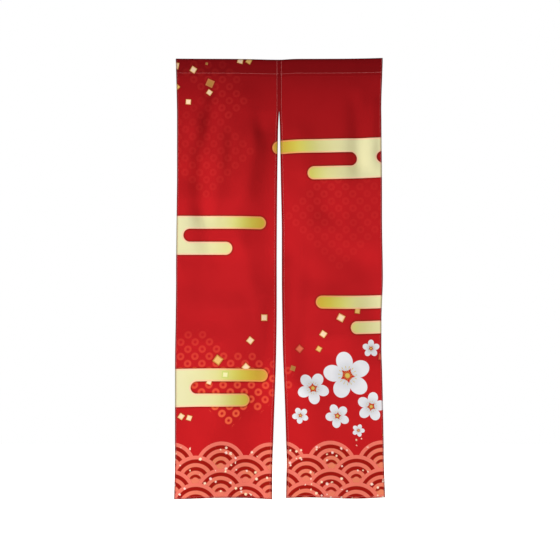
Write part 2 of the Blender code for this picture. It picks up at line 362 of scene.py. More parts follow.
def edge_rounding(from_outer, from_inner, s):
    """1 over the open cloth, falling to 0 in a half circle at the edges of the sheet."""
    start = -(POCKET_DROP + POCKET_TURN)
    nearest = np.minimum(np.minimum(from_outer, from_inner), np.minimum(s - start, FOOT - s))
    inside = np.clip(nearest / EDGE_ROUND, 0.0, 1.0)
    return np.sqrt(np.clip(1 - (1 - inside) ** 2, 0.0, 1.0))


def make_sheet(panel, materials):
    """A panel's cloth as one closed thin sheet with its print laid out on it."""
    x, s, from_outer, from_inner = sheet_places(panel)
    middle = middle_of_cloth(panel, x, s)
    normal = facing_of_cloth(panel, x, s)
    turned = turned_layers(panel, from_outer, from_inner, s)
    rounding = edge_rounding(from_outer, from_inner, s)
    half = (CLOTH + turned) / 2
    centre = middle - normal * (turned / 2)[..., None]
    printed = centre + normal * (half * rounding)[..., None]
    reverse = centre - normal * (half * rounding)[..., None]
    rows, columns = x.shape
    front_index = np.arange(rows * columns).reshape(rows, columns)
    back_index = front_index.copy()
    inner_count = (rows - 2) * (columns - 2)
    back_index[1:-1, 1:-1] = rows * columns + np.arange(inner_count).reshape(rows - 2, columns - 2)
    points = np.concatenate((printed.reshape(-1, 3), reverse[1:-1, 1:-1].reshape(-1, 3)))
    flipped = panel.side > 0
    faces = np.concatenate((quads(front_index, flipped), quads(back_index, not flipped)))
    mesh = bpy.data.meshes.new(f"{panel.name}_cloth")
    mesh.from_pydata(points.tolist(), [], faces.tolist())
    mesh.validate()
    thing = bpy.data.objects.new(f"{panel.name}_cloth", mesh)
    bpy.context.scene.collection.objects.link(thing)
    mesh.shade_smooth()
    for material in materials:
        mesh.materials.append(material)
    mesh.polygons.foreach_set("material_index", face_materials(s, from_outer, from_inner))
    inner_places = front_index[1:-1, 1:-1].ravel()
    places = np.concatenate((front_index.ravel(), inner_places))[faces]
    # Painted shade of layered cloth and turned edges, carried to the material
    shade = painted_layer_and_edge_shade(s, from_outer, from_inner)
    lay_out_print(mesh, print_x(panel, middle).ravel()[places], s.ravel()[places], shade.ravel()[places])
    return thing


def quads(index, flipped):
    """The faces of a grid of vertex numbers."""
    corners = (index[:-1, :-1], index[1:, :-1], index[1:, 1:], index[:-1, 1:])
    if flipped:
        corners = corners[::-1]
    return np.stack(corners, axis=-1).reshape(-1, 4)


def face_materials(s, from_outer, from_inner):
    """A material number for each face: the print, the waves, and the reverse of each."""
    middle_s = (s[:-1, :-1] + s[1:, 1:]) / 2
    outer = (from_outer[:-1, :-1] + from_outer[1:, 1:]) / 2
    inner = (from_inner[:-1, :-1] + from_inner[1:, 1:]) / 2
    waves = middle_s > WAVE_ZONE
    hem = (outer < SIDE_HEM) | (inner < SLIT_HEM) | (middle_s > FOOT - FOOT_HEM)
    printed = np.where(waves, 1, 0)
    reverse = np.where(hem, printed, np.where(waves, 3, 2))
    return np.concatenate((printed.ravel(), reverse.ravel())).astype(np.int32)


# The print. Its coordinates are metres on the cloth: x from the middle seam or slit, and s down it.
WAVE_ZONE = 1.545
WAVE_CREST = 1.567
WAVE_RADIUS = 0.103
WAVE_PITCH = 0.056
WAVE_START = -0.0139
# How much of the waves' width each panel's turned slit hem hides
WAVE_HIDDEN = 0.0077
# How much higher the waves sit on the right panel
WAVE_LIFT = 0.0026
DAPPLE_PITCH = 0.0586
MIST_RIM = 0.0056
# The darker line round the mist and the squares: where it is full, and how far it fades beyond
OUTLINE = 0.0018
OUTLINE_FADE = 0.0066
# Length of cloth over which a band of mist pales from gold, and over which two bands blend
MIST_FADE = 0.40
MIST_BLEND = 0.012

Band = namedtuple("Band", "side top foot tip pale")
Mist = namedtuple("Mist", "bands notches rise")
Chip = namedtuple("Chip", "x s size turn tone over")
Blossom = namedtuple("Blossom", "x s radius turn")
Dapple = namedtuple("Dapple", "x s i_from i_to j_from j_to head foot")

# Mist: bands that run out to a side (-1 left, 1 right) from a round tip, and the notches that part
# two bands that flow together. The last number is how much of the golden start a band leaves out. The
# bands of a mist rise to the right by its rise, in metres a metre.
MISTS = (
    Mist(
        bands=(Band(-1, 0.6435, 0.6955, -0.0445, 0.05), Band(-1, 0.7490, 0.8020, -0.183, 0.20)),
        notches=(Band(1, 0.6955, 0.7490, -0.383, 0),),
        rise=0.0,
    ),
    Mist(
        bands=(Band(-1, 1.2675, 1.3200, -0.032, 0.00), Band(-1, 1.3705, 1.4235, -0.1045, 0.09)),
        notches=(Band(1, 1.3200, 1.3705, -0.348, 0),),
        rise=0.0,
    ),
    Mist(
        bands=(Band(1, 0.3320, 0.3870, -0.022, 0.03), Band(1, 0.4425, 0.4960, 0.109, 0.13)),
        notches=(Band(-1, 0.3870, 0.4425, 0.313, 0), Band(1, 0.3875, 0.4355, 0.395, 0)),
        rise=0.020,
    ),
    Mist(bands=(Band(1, 0.9705, 1.0235, 0.138, 0.05),), notches=(), rise=0.002),
    Mist(bands=(Band(1, 1.0745, 1.1265, 0.277, 0.17),), notches=(), rise=0.002),
)
# Squares of cut leaf, strewn loosely over the mist (1) or under it (0), in five tones: 0 cream, 1 gold,
# 2 dull gold, 3 orange, 4 pale lime
CHIPS = (
    Chip(-0.424, 0.030, 0.025, 12, 0, 0),
    Chip(-0.352, 0.0457, 0.023, 32, 0, 0),
    Chip(-0.297, 0.022, 0.010, 10, 2, 0),
    Chip(-0.1596, 0.009, 0.023, 14, 0, 0),
    Chip(-0.1246, 0.010, 0.022, 28, 1, 0),
    Chip(-0.424, 0.116, 0.026, 45, 1, 0),
    Chip(-0.284, 0.100, 0.0295, 24, 2, 0),
    Chip(-0.287, 0.138, 0.021, 34, 0, 0),
    Chip(-0.373, 0.177, 0.021, 4, 0, 0),
    Chip(-0.052, 1.057, 0.026, 0, 0, 0),
    Chip(-0.108, 1.1515, 0.025, 38, 0, 0),
    Chip(-0.2385, 1.233, 0.032, 36, 1, 0),
    Chip(-0.124, 1.261, 0.026, 42, 0, 0),
    Chip(-0.207, 1.293, 0.021, 4, 4, 1),
    Chip(-0.273, 1.323, 0.020, 20, 0, 0),
    Chip(-0.3812, 1.462, 0.022, 34, 0, 0),
    Chip(-0.3487, 1.469, 0.021, 18, 0, 0),
    Chip(0.2376, 1.0597, 0.028, 28, 0, 0),
    Chip(0.3065, 1.0315, 0.022, 8, 1, 0),
    Chip(0.1655, 1.1275, 0.0245, 34, 0, 0),
    Chip(0.0695, 1.1885, 0.026, 42, 3, 0),
    Chip(0.1485, 1.1893, 0.021, 30, 1, 0),
    Chip(0.0390, 1.2675, 0.020, 20, 2, 0),
    Chip(0.4055, 1.222, 0.026, 10, 3, 0),
    Chip(0.409, 1.540, 0.020, 30, 0, 0),
)
# White plum blossoms
BLOSSOMS = (
    Blossom(0.262, 1.296, 0.098, 8),
    Blossom(0.118, 1.350, 0.066, -22),
    Blossom(0.354, 1.424, 0.060, 31),
    Blossom(0.214, 1.462, 0.050, 64),
    Blossom(0.362, 1.186, 0.036, 20),
    Blossom(0.062, 1.462, 0.034, -8),
    Blossom(0.298, 1.520, 0.026, 40),
)
# Patches of dappled spots, as ranges of cells on a slanting grid: cell 0, 0 is centred on x and s, i runs
# down to the right and j down to the left. The last two numbers are how plainly the spots show.
DAPPLES = (
    Dapple(-0.1865, 1.481, -9, -9, -3, 0, 0.22, 0.40),
    Dapple(-0.1865, 1.481, -8, 0, -4, 0, 0.22, 0.95),
    Dapple(-0.1865, 1.481, -4, 0, -5, -5, 0.36, 0.60),
    Dapple(-0.1865, 1.481, -3, 0, -6, -6, 0.36, 0.60),
    Dapple(-0.1865, 1.481, -1, 0, -7, -7, 0.30, 0.42),
    Dapple(-0.1865, 1.481, 1, 1, -6, -3, 0.40, 0.70),
    Dapple(-0.1453, 0.1726, -4, -2, -1, -1, 0.05, 0.07),
    Dapple(-0.1453, 0.1726, -6, 0, 0, 2, 0.06, 0.10),
    Dapple(-0.1453, 0.1726, -3, 4, 3, 9, 0.05, 0.10),
    Dapple(-0.1453, 0.1726, 11, 18, -1, 5, 0.11, 0.07),
    Dapple(-0.1453, 0.1726, 14, 20, -3, -2, 0.08, 0.05),
)
# How far beyond its cells a patch holds its strength, in cells
DAPPLE_MARGIN = 0.12


def print_x(panel, middle):
    """The print's x for every vertex: length of cloth from the inner side, eased to the hung width."""
    steps = np.hypot(np.diff(middle[..., 0], axis=1), np.diff(middle[..., 1], axis=1))
    length = np.concatenate((np.zeros((len(steps), 1)), np.cumsum(steps, axis=1)), axis=1)
    width = np.abs(middle[:, :1, 0] - middle[:, -1:, 0])
    return panel.side * (length[:, -1:] - length) * width / length[:, -1:]


def band_distance(x, s, band):
    """Signed distance to a band with a round tip, negative inside it."""
    radius = (band.foot - band.top) / 2
    run = band.side * (x - band.tip) - radius
    return np.hypot(np.minimum(run, 0.0), s - (band.top + band.foot) / 2) - radius


def join_distance(x, s, notches):
    """Signed distance to the mist that joins two bands, between or behind the notches' round ends."""
    distance = np.full(x.shape, -1.0)
    for notch in notches:
        radius = (notch.foot - notch.top) / 2
        beside = np.abs(s - (notch.top + notch.foot) / 2) - 2 * radius
        beyond = notch.side * (x - notch.tip) - radius
        outside = -band_distance(x, s, notch)
        distance = np.maximum.reduce((distance, beside, beyond, outside))
    return distance


def mist_layout(x, s):
    """The mist's signed distance, and how far its colour has gone from gold to pale."""
    distance = np.full(x.shape, 1.0)
    paleness = np.zeros(x.shape)
    weight = np.full(x.shape, 1e-12)
    for mist in MISTS:
        level = s + mist.rise * x
        for band in mist.bands:
            gap = band_distance(x, level, band)
            distance = np.minimum(distance, gap)
            share = np.exp(-np.clip(gap, -0.03, 0.2) / MIST_BLEND)
            paleness += share * np.clip((band.side * (x - band.tip) + band.pale) / MIST_FADE, 0.0, 1.0)
            weight += share
        if mist.notches:
            distance = np.minimum(distance, join_distance(x, level, mist.notches))
    return distance, paleness / weight


def nearest_motif(gaps):
    """For every face, the number of the motif whose gap from the middle of the face is least."""
    return np.argmin([gap.mean(axis=1) for gap in gaps], axis=0)[:, None]


def local_frame(x, s, motifs, reach):
    """For the corners of every face, their place across and down in the frame of its nearest motif."""
    frames = []
    for motif in motifs:
        turn = math.radians(motif.turn)
        right, below = x - motif.x, s - motif.s
        u = (right * math.cos(turn) + below * math.sin(turn)) / reach(motif)
        v = (below * math.cos(turn) - right * math.sin(turn)) / reach(motif)
        frames.append((u, v))
    number = nearest_motif([np.hypot(u, v) for u, v in frames])
    across = np.take_along_axis(np.stack([u for u, _ in frames], axis=1), number[:, :, None], axis=1)
    down = np.take_along_axis(np.stack([v for _, v in frames], axis=1), number[:, :, None], axis=1)
    return across[:, 0], down[:, 0], number


def dapple_layout(x, s):
    """The grid coordinates of each face's nearest patch, and how plainly its spots show."""
    layouts, gaps = [], []
    for patch in DAPPLES:
        right, below = x - patch.x, s - patch.s
        along, aside = (right + below) / DAPPLE_PITCH, (below - right) / DAPPLE_PITCH
        depth_i = np.minimum(along - patch.i_from, patch.i_to - along)
        depth_j = np.minimum(aside - patch.j_from, patch.j_to - aside)
        depth = np.minimum(depth_i, depth_j) + 0.5
        length = patch.i_to + patch.j_to - patch.i_from - patch.j_from
        part = np.clip((along + aside - patch.i_from - patch.j_from) / length, 0.0, 1.0)
        shown = np.where(depth > -DAPPLE_MARGIN, between(patch.head, patch.foot, part), 0.0)
        layouts.append(np.stack((along, aside, shown), axis=-1))
        gaps.append(-depth)
    number = nearest_motif(gaps)
    chosen = np.take_along_axis(np.stack(layouts, axis=1), number[:, :, None, None], axis=1)[:, 0]
    return chosen[..., 0], chosen[..., 1], chosen[..., 2]


def painted_layer_and_edge_shade(s, from_outer, from_inner):
    """Painted shade: how much darker the cloth is painted where it lies in several layers and lets less
    light through from behind, and along its edges, which turn away from the light; 1 is a single layer.
    """
    soft = 0.0008
    drop = np.abs(s)
    slit_hem = 1 - smooth((from_inner - SLIT_HEM) / soft)
    side_hem = 1 - smooth((from_outer - SIDE_HEM) / soft)
    foot_hem = smooth((s - (FOOT - FOOT_HEM)) / soft)
    pocket = 1 - smooth((drop - POCKET_DROP) / soft)
    turned = 1 - smooth((drop - POCKET_DROP - POCKET_TURN) / soft)
    # Painted shade of the seam's doubled hems above the slit, which let less light through from behind
    seam = slit_hem * (1 - smooth((drop - 0.215) / 0.02)) * (1 - pocket)
    # Painted shade along the slit edges, the sides, the foot and the top, where the cloth turns away from
    # the light
    painted_slit_edge_shade = bell(from_inner / 0.0045) * smooth((drop - 0.205) / 0.02)
    rim = 0.66 * np.maximum(bell(from_outer / 0.0045), painted_slit_edge_shade)
    rim = np.maximum(rim, 0.66 * bell((FOOT - s) / 0.0035))
    rim = np.maximum(rim, 0.80 * bell(drop / 0.0050))
    # Painted shade where the hems, the pocket and its turned layer lie doubled and let less light through
    # from behind
    shade = (1 - 0.10 * side_hem) * (1 - 0.12 * slit_hem) * (1 - 0.10 * foot_hem)
    shade = shade * (1 - 0.06 * turned) * (1 - 0.22 * pocket) * (1 - 0.18 * seam)
    return shade * (1 - rim)


def lay_out_print(mesh, x, s, shade):
    """Stores the print's layout at the corners of every face of the cloth."""
    chip_u, chip_v, chip = local_frame(x, s, CHIPS, lambda motif: motif.size / 2)
    bloom_u, bloom_v, _ = local_frame(x, s, BLOSSOMS, lambda motif: motif.radius)
    tones = np.array([motif.tone for motif in CHIPS])[chip] / 4.0
    over = np.array([float(motif.over) for motif in CHIPS])[chip]
    # The cloth attribute carries the print's x and s and the painted shade of layered cloth and edges
    store(mesh, "cloth", x, s, shade)
    store(mesh, "mist", *mist_layout(x, s), over)
    store(mesh, "chip", chip_u, chip_v, tones)
    store(mesh, "bloom", bloom_u, bloom_v, 0.0)
    store(mesh, "dapple", *dapple_layout(x, s))


def store(mesh, name, *values):
    """A vector attribute at the corners of the faces, from its three parts."""
    rows = np.stack(np.broadcast_arrays(*values), axis=-1).reshape(-1, 3)
    layer = mesh.attributes.new(name, "FLOAT_VECTOR", "CORNER")
    layer.data.foreach_set("vector", rows.astype(np.float32).ravel())


class Number:
    """A number in a material's node tree, so that its formulas read as plain sums."""

    def __init__(self, tree, socket):
        self.tree = tree
        self.socket = socket

    def step(self, operation, *others, clamp=False):
        node = self.tree.nodes.new("ShaderNodeMath")
        node.operation = operation
        node.use_clamp = clamp
        for socket, value in zip(node.inputs, (self, *others)):
            if isinstance(value, Number):
                self.tree.links.new(value.socket, socket)
            else:
                socket.default_value = value
        return Number(self.tree, node.outputs[0])

    def __add__(self, other):
        return self.step("ADD", other)

    def __sub__(self, other):
        return self.step("SUBTRACT", other)

    def __mul__(self, other):
        return self.step("MULTIPLY", other)

    def __truediv__(self, other):
        return self.step("DIVIDE", other)

    def most(self, other):
        return self.step("MAXIMUM", other)

    def least(self, other):
        return self.step("MINIMUM", other)

    def length(self, other):
        return (self * self + other * other).step("SQRT")

    def over(self, limit, soft):
        """1 above a limit and 0 below it, with a soft edge."""
        return self.step("SUBTRACT", limit).step("MULTIPLY_ADD", 1.0 / soft, 0.5, clamp=True)

    def under(self, limit, soft):
        """1 below a limit and 0 above it, with a soft edge."""
        return self.step("SUBTRACT", limit).step("MULTIPLY_ADD", -1.0 / soft, 0.5, clamp=True)


def split_attribute(tree, name):
    """The three numbers of a vector attribute."""
    source = tree.nodes.new("ShaderNodeAttribute")
    source.attribute_name = name
    parts = tree.nodes.new("ShaderNodeSeparateXYZ")
    tree.links.new(source.outputs["Vector"], parts.inputs[0])
    return [Number(tree, socket) for socket in parts.outputs]


def srgb(*levels):
    """A linear colour from the 0 to 255 levels of a screen."""
    parts = [level / 255 for level in levels]
    linear = [part / 12.92 if part <= 0.04045 else ((part + 0.055) / 1.055) ** 2.4 for part in parts]
    return (*linear, 1.0)


def ramp(tree, value, stops, interpolation="LINEAR"):
    """A colour that follows a number through (place, colour) stops."""
    node = tree.nodes.new("ShaderNodeValToRGB")
    node.color_ramp.interpolation = interpolation
    elements = node.color_ramp.elements
    while len(elements) < len(stops):
        elements.new(0.5)
    for element, (place, colour) in zip(elements, stops):
        element.position = place
        element.color = colour
    tree.links.new(value.socket, node.inputs[0])
    return node.outputs[0]


def mixed(tree, share, first, second, blend="MIX"):
    """One colour painted over another, or multiplied with it, by a share."""
    node = tree.nodes.new("ShaderNodeMix")
    node.data_type = "RGBA"
    node.blend_type = blend
    inputs = (node.inputs["Factor"], node.inputs[6], node.inputs[7])
    for socket, value in zip(inputs, (share, first, second)):
        if isinstance(value, Number):
            tree.links.new(value.socket, socket)
        elif isinstance(value, bpy.types.NodeSocket):
            tree.links.new(value, socket)
        else:
            socket.default_value = value
    return node.outputs[2]


def noise(tree, x, s, stretch_x, stretch_s, detail=2.0):
    """Smooth noise from 0 to 1 on the cloth, with its own fineness each way."""
    place = tree.nodes.new("ShaderNodeCombineXYZ")
    tree.links.new((x * stretch_x).socket, place.inputs[0])
    tree.links.new((s * stretch_s).socket, place.inputs[1])
    node = tree.nodes.new("ShaderNodeTexNoise")
    node.noise_dimensions = "2D"
    node.inputs["Scale"].default_value = 1.0
    node.inputs["Detail"].default_value = detail
    tree.links.new(place.outputs[0], node.inputs["Vector"])
    return Number(tree, node.outputs[0])


GROUND = (
    (0.000, srgb(141, 12, 18)),
    (0.015, srgb(141, 12, 18)),
    (0.027, srgb(137, 13, 18)),
    (0.036, srgb(141, 14, 19)),
    (0.050, srgb(147, 16, 21)),
    (0.083, srgb(157, 18, 23)),
    (0.122, srgb(164, 20, 25)),
    (0.178, srgb(167, 22, 26)),
    (0.250, srgb(180, 25, 29)),
    (0.333, srgb(190, 27, 32)),
    (0.444, srgb(193, 28, 33)),
    (0.556, srgb(191, 28, 33)),
    (0.694, srgb(194, 28, 33)),
    (0.833, srgb(197, 28, 32)),
    (1.000, srgb(199, 27, 31)),
)
SPOT_RED = srgb(240, 66, 60)
SPOT_ORANGE = srgb(246, 104, 66)
MIST_FILL = (
    (0.00, srgb(211, 160, 66)),
    (0.10, srgb(205, 167, 58)),
    (0.18, srgb(206, 177, 62)),
    (0.27, srgb(210, 193, 77)),
    (0.36, srgb(215, 207, 101)),
    (0.44, srgb(220, 215, 126)),
    (0.53, srgb(224, 218, 147)),
    (0.66, srgb(228, 222, 162)),
    (0.90, srgb(234, 229, 178)),
)
MIST_EDGE = (
    (0.00, srgb(230, 144, 76)),
    (0.25, srgb(238, 164, 96)),
    (0.50, srgb(250, 194, 144)),
    (0.80, srgb(255, 211, 174)),
)
OUTLINE_TINT = (0.58, 0.95, 0.45, 1.0)
CHIP_TONES = (
    (0.0, srgb(255, 222, 184)),
    (0.12, srgb(238, 190, 112)),
    (0.38, srgb(178, 128, 64)),
    (0.62, srgb(232, 112, 82)),
    (0.88, srgb(242, 238, 176)),
)
CHIP_EDGES = (
    (0.0, srgb(236, 178, 110)),
    (0.12, srgb(206, 146, 70)),
    (0.38, srgb(196, 120, 70)),
    (0.62, srgb(204, 84, 58)),
    (0.88, srgb(228, 222, 140)),
)
PETAL_WHITE = srgb(232, 233, 236)
PETAL_GREY = srgb(205, 207, 214)
STAMEN = srgb(214, 190, 92)
WAVE_LIGHT = srgb(238, 119, 101)
WAVE_DARK = srgb(158, 20, 13)
WAVE_TAN = (0.94, 1.22, 0.86, 1.0)
FLECK = srgb(255, 226, 184)
FLECK_PINK = srgb(255, 214, 204)
# Spacing of the places where a fleck may lie
FLECK_PITCH = 0.021
REVERSE_PALE = srgb(236, 170, 160)
# The thread's pale pink, painted darker and lighter as painted shade and painted highlight along its
# twist
THREAD_TWIST_SHADE = srgb(236, 112, 114)
THREAD_TWIST_HIGHLIGHT = srgb(255, 164, 160)


def paint_ground(tree, x, s):
    """The red ground: dark at the head, brighter down the cloth, and faintly mottled."""
    colour = ramp(tree, (s / FOOT).step("ADD", 0.0, clamp=True), GROUND)
    mottle = noise(tree, x, s, 9.0, 6.0) * 0.16 + 0.92
    return mixed(tree, mottle, (0.0, 0.0, 0.0, 1.0), colour)


def paint_dapples(tree, colour):
    """Rings of tie-dyed dapple on a slanting grid, in patches."""
    i, j, strength = split_attribute(tree, "dapple")
    right = (i + 0.5).step("FRACT") - 0.5
    out = right.length((j + 0.5).step("FRACT") - 0.5)
    ring = out.under(0.37, 0.09) * out.over(0.14, 0.12)
    spot = mixed(tree, strength, SPOT_RED, SPOT_ORANGE)
    return mixed(tree, ring * strength, colour, spot)


def paint_mist(tree, colour):
    """Bands of mist that pale from golden tips, with a thin peach rim."""
    gap, paleness, _ = split_attribute(tree, "mist")
    fill = ramp(tree, paleness, MIST_FILL)
    rim = ramp(tree, paleness, MIST_EDGE)
    band = mixed(tree, gap.over(-MIST_RIM, 0.0045), fill, rim)
    line = gap.under(OUTLINE + OUTLINE_FADE / 2, OUTLINE_FADE)
    outlined = mixed(tree, line, colour, OUTLINE_TINT, "MULTIPLY")
    return mixed(tree, gap.under(0.0, 0.0012), outlined, band)


def paint_chips(tree, colour):
    """Squares of cut leaf with a darker edge, over the mist or under it."""
    u, v, tone = split_attribute(tree, "chip")
    gap, _, over = split_attribute(tree, "mist")
    out = u.step("ABSOLUTE").most(v.step("ABSOLUTE"))
    inside = ramp(tree, tone, CHIP_TONES, "CONSTANT")
    edge = ramp(tree, tone, CHIP_EDGES, "CONSTANT")
    leaf = mixed(tree, out.over(0.74, 0.14), inside, edge)
    seen = gap.over(0.0, 0.0012).most(over)
    outlined = mixed(tree, out.under(1.22, 0.36) * seen * 0.7, colour, OUTLINE_TINT, "MULTIPLY")
    return mixed(tree, out.under(1.0, 0.10) * seen, outlined, leaf)


def paint_blossoms(tree, colour):
    """Five-petalled white blossoms with grey hearts and gold stamens."""
    u, v, _ = split_attribute(tree, "bloom")
    out = u.length(v)
    petal_turn = 2 * math.pi / 5
    turn = v.step("ARCTAN2", u) / petal_turn
    aside = (turn.step("FRACT") - 0.5) * petal_turn
    along = out * aside.step("COSINE")
    across = out * aside.step("SINE")
    petal = ((along - 0.60) / 0.40).length(across / 0.345)
    white = mixed(tree, out.under(0.42, 0.5), PETAL_WHITE, PETAL_GREY)
    flower = mixed(tree, petal.under(1.0, 0.04), colour, white)
    spoke = (turn * 3.0).step("FRACT") - 0.5
    thread = (spoke.step("ABSOLUTE") * out).under(0.012, 0.01) * out.under(0.34, 0.02)
    dots = spoke.step("ABSOLUTE").length((out - 0.36) * 2.4).under(0.11, 0.04)
    heart = out.under(0.10, 0.03)
    return mixed(tree, thread.most(dots).most(heart), flower, STAMEN)


def wave_row(tree, x, s, row):
    """In one row: distance from the wave's centre, the same under an arch, and how far below it."""
    hidden = x.step("SIGN") * WAVE_HIDDEN
    shift = (x + hidden - WAVE_START) / WAVE_RADIUS + row + 1.0
    right = (shift * 0.5).step("FRACT") * 2.0 - 1.0
    below = (s - WAVE_CREST) / WAVE_RADIUS - 1.0 - row * (WAVE_PITCH / WAVE_RADIUS)
    beyond = row.under(-0.5, 0.01) * 9.0
    return right.length(below) + beyond, right.length(below.least(0.0)) + beyond, below


def paint_waves(tree, x, s, colour):
    """Overlapping rows of ringed waves, each row in front of the one above it."""
    s = s + x.over(0.0, 0.002) * WAVE_LIFT
    front = ((s - WAVE_CREST) / WAVE_PITCH).step("FLOOR")
    shown, arch, below = wave_row(tree, x, s, front - 2.0)
    for behind in (1.0, 0.0):
        nearer = wave_row(tree, x, s, front - behind)
        inside = nearer[0].under(1.0, 0.006)
        outside = inside * -1.0 + 1.0
        shown = shown * outside + nearer[0] * inside
        arch = arch * outside + nearer[1] * inside
        below = below * outside + nearer[2] * inside
    stops = [(0.0, WAVE_LIGHT), (0.120, WAVE_LIGHT), (0.150, WAVE_DARK)]
    for ring in range(3):
        start = 0.25 + 0.30 * ring
        stops += [(start - 0.010, WAVE_DARK), (start + 0.010, WAVE_LIGHT)]
        stops += [(start + 0.140, WAVE_LIGHT), (start + 0.160, WAVE_DARK)]
    rings = ramp(tree, arch, stops[:-1])
    heart = below.over(-0.07, 0.06) * arch.under(0.25, 0.02)
    rings = mixed(tree, heart, rings, WAVE_LIGHT)
    tan = noise(tree, x, s, 11.0, 14.0).over(0.50, 0.4) * arch.under(0.62, 0.7)
    ringed = mixed(tree, tan, rings, mixed(tree, 1.0, rings, WAVE_TAN, "MULTIPLY"))
    return mixed(tree, shown.under(1.0, 0.012), colour, ringed)


def paint_flecks(tree, x, s, colour):
    """Small flecks of leaf strewn in clusters on the waves, and above them on the right."""
    ragged_x = x + (noise(tree, x, s, 260.0, 260.0) - 0.5) * 0.005
    ragged_s = s + (noise(tree, x, s, 310.0, 290.0) - 0.5) * 0.005
    place = tree.nodes.new("ShaderNodeCombineXYZ")
    tree.links.new(ragged_x.socket, place.inputs[0])
    tree.links.new(ragged_s.socket, place.inputs[1])
    cells = tree.nodes.new("ShaderNodeTexVoronoi")
    cells.voronoi_dimensions = "2D"
    cells.inputs["Scale"].default_value = 1 / FLECK_PITCH
    tree.links.new(place.outputs[0], cells.inputs["Vector"])
    shades = tree.nodes.new("ShaderNodeSeparateColor")
    tree.links.new(cells.outputs["Color"], shades.inputs[0])
    cluster = noise(tree, x, s, 13.0, 17.0)
    above = (x - 0.306).length(s - 1.560).under(0.030, 0.01)
    chosen = (Number(tree, shades.outputs[0]) + cluster * 1.1 + above * 0.3).over(1.35, 0.01)
    size = Number(tree, shades.outputs[1]) * 0.15 + 0.13
    fleck = (Number(tree, cells.outputs["Distance"]) - size).under(0.0, 0.10)
    low = s.over(WAVE_CREST + 0.022, 0.01).most(above)
    light = mixed(tree, Number(tree, shades.outputs[2]), FLECK, FLECK_PINK)
    return mixed(tree, fleck * chosen * low, colour, light)


def weave_height(tree, x, s):
    """Plain weave: yarns that pass over and under, with slubs along them."""
    yarn = 0.00062
    warp = (x * (math.pi / yarn)).step("SINE")
    weft = (s * (math.pi / yarn)).step("SINE")
    slubs = noise(tree, x, s, 30.0, 900.0) + noise(tree, x, s, 900.0, 30.0)
    return warp * weft * 0.5 + slubs * 0.6


def cloth_material(name, painters, reverse):
    """Matt woven polyester with its print, or the paler reverse of it."""
    material = bpy.data.materials.new(name)
    material.use_nodes = True
    tree = material.node_tree
    shader = tree.nodes["Principled BSDF"]
    x, s, shade = split_attribute(tree, "cloth")
    colour = paint_ground(tree, x, s)
    for painter in painters:
        colour = painter(tree, x, s, colour)
    # Painted shade of layered cloth and turned edges darkens the colour here
    colour = mixed(tree, shade, (0.0, 0.0, 0.0, 1.0), colour)
    if reverse:
        colour = mixed(tree, 0.38, colour, REVERSE_PALE)
    tree.links.new(colour, shader.inputs["Base Color"])
    bump = tree.nodes.new("ShaderNodeBump")
    bump.inputs["Strength"].default_value = 0.35
    bump.inputs["Distance"].default_value = 0.0001
    tree.links.new(weave_height(tree, x, s).socket, bump.inputs["Height"])
    tree.links.new(bump.outputs[0], shader.inputs["Normal"])
    shader.inputs["Roughness"].default_value = 0.9
    shader.inputs["Specular IOR Level"].default_value = 0.06
    return material


def thread_material():
    """Pale pink polyester thread, with painted highlight and painted shade in bands along its twist."""
    material = bpy.data.materials.new("sewing_thread")
    material.use_nodes = True
    tree = material.node_tree
    shader = tree.nodes["Principled BSDF"]
    place = tree.nodes.new("ShaderNodeTexCoord")
    twist = tree.nodes.new("ShaderNodeTexWave")
    twist.bands_direction = "DIAGONAL"
    twist.inputs["Scale"].default_value = 1500.0
    tree.links.new(place.outputs["Object"], twist.inputs["Vector"])
    stops = ((0.0, THREAD_TWIST_SHADE), (1.0, THREAD_TWIST_HIGHLIGHT))
    colour = ramp(tree, Number(tree, twist.outputs["Fac"]), stops)
    tree.links.new(colour, shader.inputs["Base Color"])
    shader.inputs["Roughness"].default_value = 0.6
    shader.inputs["Specular IOR Level"].default_value = 0.2
    return material


def make_materials():
    """The print above the waves, the waves, and the reverse of each, in the order of face_materials."""

    def upper(tree, x, s, colour):
        colour = paint_dapples(tree, colour)
        colour = paint_mist(tree, colour)
        colour = paint_chips(tree, colour)
        return paint_blossoms(tree, colour)

    waves = (paint_waves, paint_flecks)
    return (
        cloth_material("printed_cloth", (upper,), False),
        cloth_material("printed_waves", waves, False),
        cloth_material("reverse_of_cloth", (upper,), True),
        cloth_material("reverse_of_waves", waves, True),
    )


# Sewing: the length of a stitch, the gap between two, and the thread's thickness
STITCH = 0.0027
STITCH_GAP = 0.0006
THREAD = 0.00040


